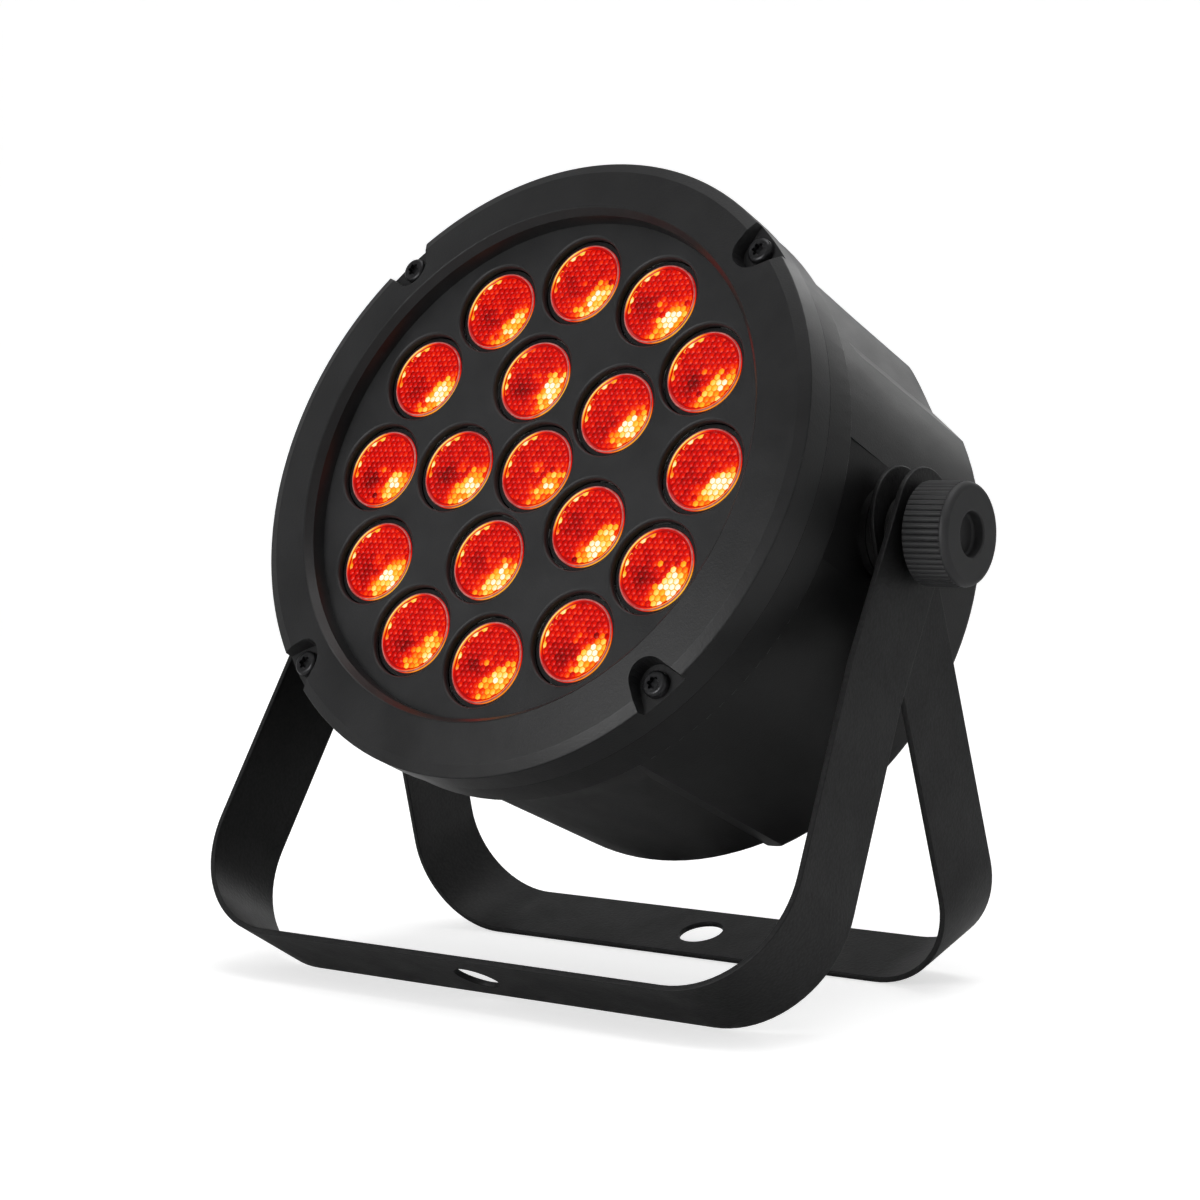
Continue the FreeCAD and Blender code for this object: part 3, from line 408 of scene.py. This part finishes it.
def light_pattern(seed):
    """How the light lies on one lens, whose radius counts as 1.

    Returns the function of place that gives its heat, the one that gives the streak alone, and
    the source of its random draws.
    """
    draw = random.Random(seed)
    flare = draw.uniform(0.9, 1.3)
    white = draw.choice((0.6, 1.0, 1.5, 2.0, 2.5))
    core = draw.choice((0.1, 0.4, 0.9, 1.6))
    lean = draw.uniform(-9.0, 9.0)
    shadow = draw.uniform(0.15, 0.6)
    white_at = around(math.radians(WHITE_AT + lean), draw.uniform(0.5, 0.62))
    core_at = (draw.uniform(-0.05, 0.08), draw.uniform(-0.05, 0.08))
    dark_at = around(math.radians(draw.uniform(170, 235)), draw.uniform(0.35, 0.5))

    def streak(u, v, half, thick):
        radius, turn = math.hypot(u, v), math.degrees(math.atan2(v, u)) % 360
        return plateau(turn, STREAK_AT + lean, half, 42) * plateau(radius, 0.925, thick, 0.06)

    def heat(u, v):
        radius, turn = math.hypot(u, v), math.degrees(math.atan2(v, u))
        value = PLAIN
        bright_side = plateau(turn, FLARE_AT + lean, 24, 44) * plateau(radius, 0.70, 0.2, 0.2)
        value += 1.9 * flare * bright_side
        value += white * spot(u, v, white_at, 0.14)
        value += core * spot(u, v, core_at, 0.08)
        value -= shadow * spot(u, v, dark_at, 0.22)
        return value + 2.7 * streak(u, v, 20, 0.03)

    return heat, streak, draw


def honeycomb(bm, heat, streak, draw, place, values):
    """Domed hexagonal cells over the lens face. Notes the heat of each vertex in values."""
    points = {}

    def point(x, z, depth, value):
        key = (round(x, 3), round(z, 3))
        if key not in points:
            radius = math.hypot(x, z)
            if radius > FACE_R:
                x, z, depth = x * FACE_R / radius, z * FACE_R / radius, DOME
            points[key] = bm.verts.new(place @ Vector((x, LENS_Y + FACE_DEPTH + depth, z)))
            values[points[key]] = value
        return points[key]

    side = CELL / math.sqrt(3)
    reach = int(FACE_R / CELL) + 4
    for row in range(-reach, reach + 1):
        for column in range(-reach, reach + 1):
            x = CELL * (column + 0.5 * (row % 2))
            z = row * CELL * math.sqrt(3) / 2
            if math.hypot(x, z) > FACE_R - CELL_MARGIN:
                continue
            base = heat(x / LENS_R, z / LENS_R)
            plain = 1.0 - streak(x / LENS_R, z / LENS_R, 40, 0.12)
            uneven = draw.uniform(-0.2, 0.2)
            sparkle = draw.uniform(-1.2, 0.8) if base > SPARKLE_FROM else 0.0
            base += plain * (uneven + sparkle)
            corners, shoulder, crown = [], [], []
            for i in range(6):
                angle = math.radians(60 * i + 30)
                cx, cz = around(angle, side)
                lit = 0.5 * math.cos(angle - math.radians(LIT_FROM))
                edge = heat((x + cx) / LENS_R, (z + cz) / LENS_R)
                groove = GROOVE * plain * max(edge - 0.9, 0.3)
                corners.append(point(x + cx, z + cz, DOME, edge - groove))
                for ring, (width, drop, gain) in ((shoulder, SHOULDER), (crown, CROWN)):
                    value = base + gain * lit
                    ring.append(point(x + cx * width, z + cz * width, DOME * drop, value))
            top = point(x, z, 0.0, base + 0.1)
            for i in range(6):
                j = (i + 1) % 6
                for outer, inner in ((corners, shoulder), (shoulder, crown)):
                    quad = [outer[i], outer[j], inner[j], inner[i]]
                    if len({tuple(v.co) for v in quad}) == 4:
                        bm.faces.new(quad)
                bm.faces.new((crown[i], crown[j], top))


def open_edge(bm, start):
    """The open edge of the faces on the vertices made since start, as a loop of vertices."""
    fresh = {v for v in bm.verts[start:]}
    edges = [e for e in bm.edges if e.is_boundary and e.verts[0] in fresh]
    beside = {}
    for e in edges:
        for a, b in ((e.verts[0], e.verts[1]), (e.verts[1], e.verts[0])):
            beside.setdefault(a, []).append(b)
    loop = list(edges[0].verts)
    while True:
        ahead = [v for v in beside[loop[-1]] if v is not loop[-2]][0]
        if ahead is loop[0]:
            return loop
        loop.append(ahead)


def lens_ring(name):
    """The lenses of one ring as closed bodies: honeycomb front, glowing rim and tapered back."""
    ring_radius, count, first = LENS_RINGS[name]
    bm = bmesh.new()
    values = {}
    for i in range(count):
        x, z = around(math.radians(first + 360 * i / count), ring_radius)
        place = HEAD @ Matrix.Translation((x, 0, z))
        heat, streak, draw = light_pattern(31 * count + i)      # a seed of its own for each lens
        start = len(bm.verts)
        honeycomb(bm, heat, streak, draw, place, values)
        bm.verts.ensure_lookup_table()
        previous = open_edge(bm, start)
        back = place.inverted()
        local = [back @ vertex.co for vertex in previous]
        angles = [math.atan2(p.z, p.x) for p in local]
        for radius, depth, rim in LENS_BODY:
            ring = []
            for angle in angles:
                px, pz = around(angle, radius)
                vertex = bm.verts.new(place @ Vector((px, LENS_Y + depth, pz)))
                u, v = around(angle, min(radius, LIT_R) / LENS_R)
                values[vertex] = heat(u, v) * BORDER_HEAT if depth < BORDER_DEPTH else DIM
                ring.append(vertex)
            for face in skin(bm, previous, ring):
                face.material_index = rim
            previous = ring
        tip = bm.verts.new(place @ Vector((0, LENS_Y + LENS_BODY[-1][1], 0)))
        values[tip] = DIM
        for j in range(len(previous)):
            bm.faces.new((previous[j], previous[(j + 1) % len(previous)], tip))
    heat_map = bm.loops.layers.uv.new("heat")
    for face in bm.faces:
        for corner in face.loops:
            corner[heat_map].uv = (min(max(values[corner.vert] / HOTTEST, 0.0), 1.0), 0.5)
    piece = add_object(name + "_glass", bm, (MATERIALS["red_lens"], LENS_RIM), SHARP_GLASS)
    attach(piece, "head")
    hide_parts(name)


# ---- seal that paints the gap's shade --------------------------------------------------------

GAP_SHADE_SEAL_PROFILE = (                # radius and y of its section
    (80.36, -36.44), (81.8, -36.44), (81.92, -36.3),
    (81.92, -36.1), (81.78, -35.94), (80.36, -35.94),
)
GAP_SHADE_SEAL_STEPS = 240
# painted shade: far darker than the housing plastic, so the ring shows as the shadow line in the gap
GAP_SHADE_TONE = (0.0012, 0.0012, 0.0012)
SHARP_GAP_SHADE_SEAL = 50                 # degrees


def gap_shade_seal():
    """Near-black ring in the gap between bezel and housing, a little proud of the housing: a seal shape whose dark
    tone paints the shadow in the gap.
    """
    bm = bmesh.new()
    rings = []
    for i in range(GAP_SHADE_SEAL_STEPS):
        angle = 2 * math.pi * i / GAP_SHADE_SEAL_STEPS
        ring = []
        for radius, y in GAP_SHADE_SEAL_PROFILE:
            x, z = around(angle, radius)
            ring.append(bm.verts.new(HEAD @ Vector((x, y, z))))
        rings.append(ring)
    for i in range(GAP_SHADE_SEAL_STEPS):
        skin(bm, rings[i], rings[(i + 1) % GAP_SHADE_SEAL_STEPS])
    # near-black rubber that paints the shadow in the gap between bezel and housing
    piece = add_object("gap_shade_seal", bm, (rubber("gap_shade_rubber", GAP_SHADE_TONE),), SHARP_GAP_SHADE_SEAL)
    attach(piece, "head")


# ---- display ---------------------------------------------------------------------------------

DIGIT = (4.2, 8.0)              # width and height of one figure
DIGIT_PITCH = 6.6
BAR = 0.42                      # half width of a segment
BAR_GAP = 0.12                  # from the corner of the figure to the tip of a segment
SUNK, PROUD = 0.02, 0.06        # how far the figures reach into the window and out of it
SEGMENTS = {                    # ends in half widths and half heights of the figure
    "a": ((-1, 1), (1, 1)), "b": ((1, 1), (1, 0)), "c": ((1, 0), (1, -1)),
    "d": ((-1, -1), (1, -1)), "e": ((-1, 0), (-1, -1)), "f": ((-1, 1), (-1, 0)),
    "g": ((-1, 0), (1, 0)),
}
FIGURES = ("abcefg", "abcdef", "abcdef", "bc")      # address A001, as read from behind the light


def display_figures():
    """Seven-segment figures on the face of the display window."""
    back = HEAD.inverted()
    window = [back @ v.co for v in frame["nodes"]["display_window"].data.vertices]
    low = [min(p[k] for p in window) for k in range(3)]
    high = [max(p[k] for p in window) for k in range(3)]
    middle_x, middle_z = (low[0] + high[0]) / 2, (low[2] + high[2]) / 2
    bm = bmesh.new()
    for place, figure in enumerate(FIGURES):
        centre = middle_x + (len(FIGURES) / 2 - 0.5 - place) * DIGIT_PITCH
        for name in figure:
            ends = [Vector((-x * DIGIT[0] / 2, z * DIGIT[1] / 2)) for x, z in SEGMENTS[name]]
            along = (ends[1] - ends[0]).normalized()
            across = Vector((-along.y, along.x)) * BAR
            first, last = ends[0] + along * BAR_GAP, ends[1] - along * BAR_GAP
            outline = (first, first + along * BAR + across, last - along * BAR + across,
                       last, last - along * BAR - across, first + along * BAR - across)
            layers = []
            for y in (high[1] - SUNK, high[1] + PROUD):
                points = [HEAD @ Vector((centre + p.x, y, middle_z + p.y)) for p in outline]
                layers.append([bm.verts.new(p) for p in points])
            for layer in layers:
                bm.faces.new(layer)
            skin(bm, *layers)
    piece = add_object("display_figures", bm, (lit_segments(),))
    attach(piece, "head")


# ---- stage, light and camera -----------------------------------------------------------------

WHITE = (1.0, 1.0, 1.0, 1.0)
STAGE_ALBEDO = (0.78, 0.78, 0.78, 1.0)
STAGE_LIFT = 0.62               # brings the seen floor up to the white of the backdrop
FLOOR_R, BEND_R, WALL_TOP = 1.5, 0.7, 2.2       # level floor, its bend into the wall, and the wall
BEND_STEPS, STAGE_STEPS = 12, 96
AMBIENT = 0.4                   # light from all round; what the camera sees of it is plain white
LIGHTS_AIM = Vector((0, 0, 0.1))
SOFTBOXES = {                   # place, size and power in watts
    "top": ((0.1, 0.1, 1.5), (1.0, 1.0), 8.0),
    "rim": ((-0.15, 1.35, 0.65), (0.5, 0.6), 1.5),
    "front": ((-0.25, -1.25, 0.35), (0.5, 0.5), 7.0),
}

CAMERA_AZIMUTH = math.radians(37.62)
CAMERA_ELEVATION = math.radians(2.73)
CAMERA_DISTANCE = 0.71518       # depth of the pivot in front of the camera
CAMERA_LENS = 82.6              # mm, on a sensor 36 mm wide
AIM_LEFT = 0.00686              # the view axis passes this far left of the pivot
AIM_DOWN = 0.01855              # and this far below it


def stage():
    """White floor that curves up into a round wall all the way round."""
    n = Nodes("stage_white")
    n.set(Roughness=0.9, Specular_IOR_Level=0.1, Base_Color=STAGE_ALBEDO, Emission_Color=WHITE)
    seen = n.add("ShaderNodeLightPath").outputs["Is Camera Ray"]
    lift = n.remap(seen, (0.0, 1.0), (0.0, STAGE_LIFT))
    n.join(lift, n.shader.inputs["Emission Strength"])
    profile = [(FLOOR_R, 0.0)]
    for i in range(1, BEND_STEPS + 1):
        angle = math.pi / 2 * i / BEND_STEPS
        profile.append((FLOOR_R + BEND_R * math.sin(angle), BEND_R * (1 - math.cos(angle))))
    profile.append((FLOOR_R + BEND_R, WALL_TOP))
    turns = [2 * math.pi * i / STAGE_STEPS for i in range(STAGE_STEPS)]
    bm = bmesh.new()
    rings = [[bm.verts.new((*around(turn, radius), z)) for turn in turns] for radius, z in profile]
    centre = bm.verts.new((0, 0, 0))
    for i in range(STAGE_STEPS):
        bm.faces.new((centre, rings[0][i], rings[0][(i + 1) % STAGE_STEPS]))
    for lower, upper in zip(rings, rings[1:]):
        skin(bm, lower, upper)
    floor = add_object("stage", bm, (n.material,), sharp=180)
    floor.data.flip_normals()


def softbox(name):
    place, size, power = SOFTBOXES[name]
    light = bpy.data.lights.new(name, "AREA")
    light.shape = "RECTANGLE"
    light.size, light.size_y = size
    light.energy = power
    lamp = bpy.data.objects.new(name, light)
    lamp.location = place
    lamp.rotation_euler = (LIGHTS_AIM - Vector(place)).to_track_quat("-Z", "Y").to_euler()
    lamp.visible_camera = False
    bpy.context.scene.collection.objects.link(lamp)


def ambient():
    world = bpy.data.worlds.new("studio")
    world.use_nodes = True
    tree = world.node_tree
    background = tree.nodes["Background"]
    background.inputs["Color"].default_value = WHITE
    seen = tree.nodes.new("ShaderNodeLightPath").outputs["Is Camera Ray"]
    strength = tree.nodes.new("ShaderNodeMapRange")
    strength.inputs["To Min"].default_value = AMBIENT
    tree.links.new(seen, strength.inputs["Value"])
    tree.links.new(strength.outputs["Result"], background.inputs["Strength"])
    bpy.context.scene.world = world


def camera():
    data = bpy.data.cameras.new("camera")
    data.sensor_width = 36.0
    data.lens = CAMERA_LENS
    data.clip_start, data.clip_end = 0.01, 50.0
    a, e = CAMERA_AZIMUTH, CAMERA_ELEVATION
    back = Vector((math.sin(a) * math.cos(e), -math.cos(a) * math.cos(e), math.sin(e)))
    right = Vector((math.cos(a), math.sin(a), 0.0))
    up = back.cross(right)
    eye = bpy.data.objects.new("camera", data)
    eye.location = PIVOT + back * CAMERA_DISTANCE - right * AIM_LEFT - up * AIM_DOWN
    eye.rotation_euler = Matrix((right, up, back)).transposed().to_euler()
    bpy.context.scene.collection.objects.link(eye)
    bpy.context.scene.camera = eye


# ---- assembly --------------------------------------------------------------------------------

dress_nodes()
for lenses in LENS_RINGS:
    lens_ring(lenses)
gap_shade_seal()
display_figures()
for node_name in SOFTENED:
    soften(node_name)
stage()
ambient()
for box in SOFTBOXES:
    softbox(box)
camera()
bpy.context.scene.view_settings.view_transform = "Standard"
